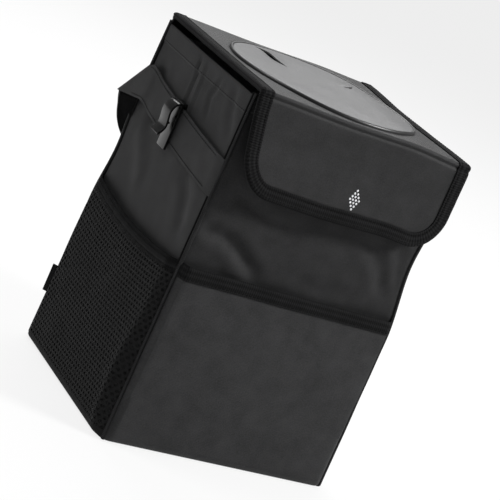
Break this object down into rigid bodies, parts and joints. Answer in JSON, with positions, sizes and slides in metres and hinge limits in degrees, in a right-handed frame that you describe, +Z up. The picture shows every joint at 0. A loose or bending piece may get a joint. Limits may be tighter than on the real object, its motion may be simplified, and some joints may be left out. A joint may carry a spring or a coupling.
{
  "type": "car trash bin",
  "caption": "Soft-sided car waste bin with a boarded cloth body, mesh side pockets, a bound lid with a push-through opening and a front flap.",
  "frame": {"origin": "middle of the underside of the base, on the surface that the bin stands on", "axes": "+Z up, the front with its flap and pocket faces -Y, +X is the bin's own right side seen from the front"},
  "size_m": [0.2104, 0.2041, 0.2725],
  "materials": {
    "shell_cloth": "matt coated woven polyester",
    "pocket_cloth": "matt coated woven polyester",
    "lid_cloth": "matt coated woven polyester with a slight sheen",
    "board": "stiff plastic board, sewn in",
    "liner": "grey waterproof film",
    "lining": "thin lining cloth",
    "piping": "corded cloth piping",
    "binding": "ribbed binding tape",
    "mesh": "knitted mesh",
    "elastic": "elastic hem",
    "strap": "folded and stitched cloth band",
    "buckle": "black moulded plastic",
    "clip": "glossy black moulded plastic",
    "grip_hook": "hook tape",
    "grip_loop": "loop tape",
    "ring": "smooth piped ring",
    "disc": "imitation leather with a strong sheen",
    "reflector": "reflective dots"
  },
  "bodies": {
    "bin": {"front_panel": "shell_cloth", "back_panel": "shell_cloth", "left_panel": "shell_cloth", "right_panel": "shell_cloth", "base_panel": "shell_cloth", "front_board": "board", "back_board": "board", "base_board": "board", "liner": "liner", "front_left_piping": "piping", "front_right_piping": "piping", "back_left_piping": "piping", "back_right_piping": "piping", "front_pocket": "pocket_cloth", "front_pocket_binding": "binding", "left_mesh_pocket": "mesh", "left_mesh_hem": "elastic", "right_mesh_pocket": "mesh", "right_mesh_hem": "elastic", "left_strap": "strap", "right_strap": "strap", "buckle_socket": "buckle", "buckle_plug": "buckle", "left_bag_clip": "clip", "right_bag_clip": "clip", "seam_tab": "binding", "front_grip_strip": "grip_loop", "lid_hinge_tape": "binding"},
    "lid": {"lid_cloth": "lid_cloth", "lid_board": "board", "lid_lining": "lining", "lid_left_binding": "binding", "lid_right_binding": "binding", "opening_ring": "ring", "opening_disc": "disc"},
    "flap": {"flap_cloth": "shell_cloth", "flap_board": "board", "flap_lining": "lining", "flap_binding": "binding", "flap_grip_strip": "grip_hook", "reflector_dots": "reflector"}
  },
  "joints": [
    {"name": "lid_hinge", "type": "hinge", "parent": "bin", "child": "lid", "pos_m": [0, 0.0809, 0.26615], "axis": [-1, 0, 0], "range_deg": [0, 180]},
    {"name": "flap_fold", "type": "hinge", "parent": "lid", "child": "flap", "pos_m": [0, -0.08753, 0.2707], "axis": [-1, 0, 0], "range_deg": [0, 170]}
  ]
}
